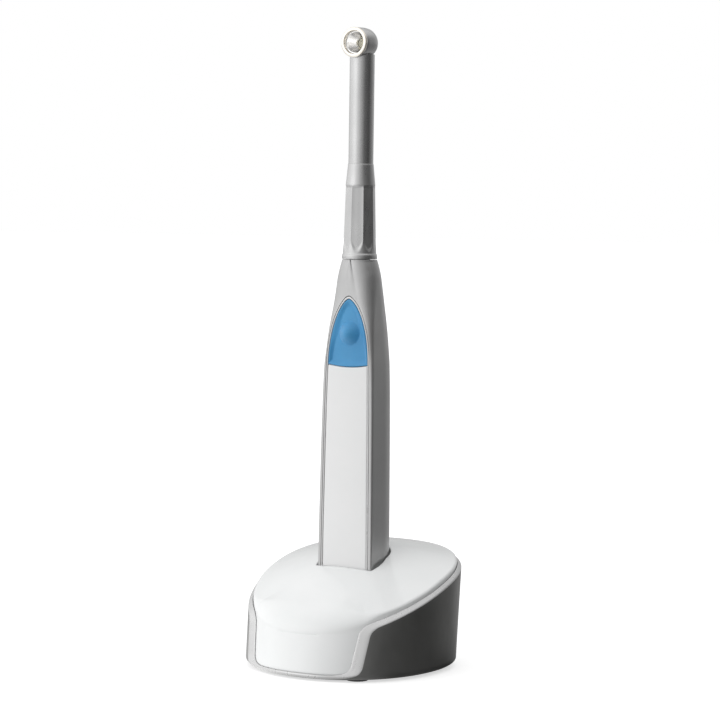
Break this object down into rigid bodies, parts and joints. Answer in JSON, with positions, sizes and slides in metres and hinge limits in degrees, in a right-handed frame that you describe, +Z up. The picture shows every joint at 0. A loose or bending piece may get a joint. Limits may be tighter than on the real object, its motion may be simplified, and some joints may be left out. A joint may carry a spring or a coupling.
{
  "type": "dental curing light",
  "caption": "Slim cordless curing light with a swivelling light head and a soft push button, standing in a rounded charging base.",
  "frame": {"origin": "on the table, under the middle of the charging base", "axes": "+Z up along the handpiece, -Y towards the front with the light exit and the button, +X to the viewer's right"},
  "size_m": [0.0788, 0.078, 0.2386],
  "materials": {
    "satin_silver": "satin silver paint",
    "trim_silver": "light silver paint",
    "white_panel": "white, semi gloss",
    "blue_silicone": "soft blue, satin",
    "white_cover": "white, high gloss",
    "base_silver": "dark silver paint, satin",
    "neck_metal": "satin anodised",
    "collar_metal": "fine bead blasted",
    "nose_metal": "polished, warm",
    "clear_glass": "clear, polished",
    "mirror_metal": "vapour metallised",
    "dark_plastic": "fine texture",
    "cup_plastic": "moulded",
    "black_plastic": "moulded",
    "board_green": "solder mask",
    "cell_wrap": "shrink wrap",
    "gold_contact": "plated",
    "spring_steel": "bright",
    "copper": "machined",
    "led_yellow": "phosphor",
    "ceramic_white": "fired",
    "wire_red": "insulation",
    "black_rubber": "matt"
  },
  "bodies": {
    "charger": {"base_shell": "base_silver", "top_cover": "white_cover", "cradle_cup": "cup_plastic", "contact_block": "black_plastic", "contact_spring_left": "spring_steel", "contact_spring_right": "spring_steel", "charger_board": "board_green", "dc_jack": "black_plastic", "jack_pin": "spring_steel", "bottom_plate": "dark_plastic", "ballast_plate": "spring_steel", "bottom_screws": "spring_steel", "rubber_feet": "black_rubber"},
    "handpiece": {"handle_shell": "satin_silver", "panel_frame": "trim_silver", "front_panel": "white_panel", "button_pad": "blue_silicone", "tact_switch": "black_plastic", "control_board": "board_green", "inner_chassis": "dark_plastic", "battery_cell": "cell_wrap", "battery_spring": "spring_steel", "end_cap": "dark_plastic", "charge_pads": "gold_contact", "swivel_spigot": "spring_steel", "swivel_o_ring": "black_rubber", "retaining_clip": "spring_steel"},
    "head": {"neck_collar": "collar_metal", "neck_tube": "neck_metal", "head_housing": "neck_metal", "nose_ring": "nose_metal", "lens": "clear_glass", "reflector": "mirror_metal", "led_module": "led_yellow", "led_board": "ceramic_white", "heat_rod": "copper", "led_leads": "wire_red"},
    "button": {"button_dome": "blue_silicone", "switch_actuator": "dark_plastic"},
    "pin_left": {"contact_pin_left": "gold_contact"},
    "pin_right": {"contact_pin_right": "gold_contact"}
  },
  "joints": [
    {"name": "handpiece_lift", "type": "slide", "parent": "charger", "child": "handpiece", "axis": [0, 0, 1], "range_m": [0, 0.06]},
    {"name": "head_swivel", "type": "hinge", "parent": "handpiece", "child": "head", "pos_m": [0, 0.0031, 0.16], "axis": [0, 0, 1], "range_deg": [-165, 165]},
    {"name": "button_press", "type": "slide", "parent": "handpiece", "child": "button", "axis": [0, 1, 0], "range_m": [0, 0.0008], "stiffness_N_per_m": 1200, "springref_m": -0.0004},
    {"name": "pin_left_press", "type": "slide", "parent": "charger", "child": "pin_left", "axis": [0, 0, -1], "range_m": [0, 0.001], "stiffness_N_per_m": 250, "springref_m": -0.0005, "deforming": ["contact_spring_left"]},
    {"name": "pin_right_press", "type": "slide", "parent": "charger", "child": "pin_right", "axis": [0, 0, -1], "range_m": [0, 0.001], "stiffness_N_per_m": 250, "springref_m": -0.0005, "deforming": ["contact_spring_right"]}
  ]
}
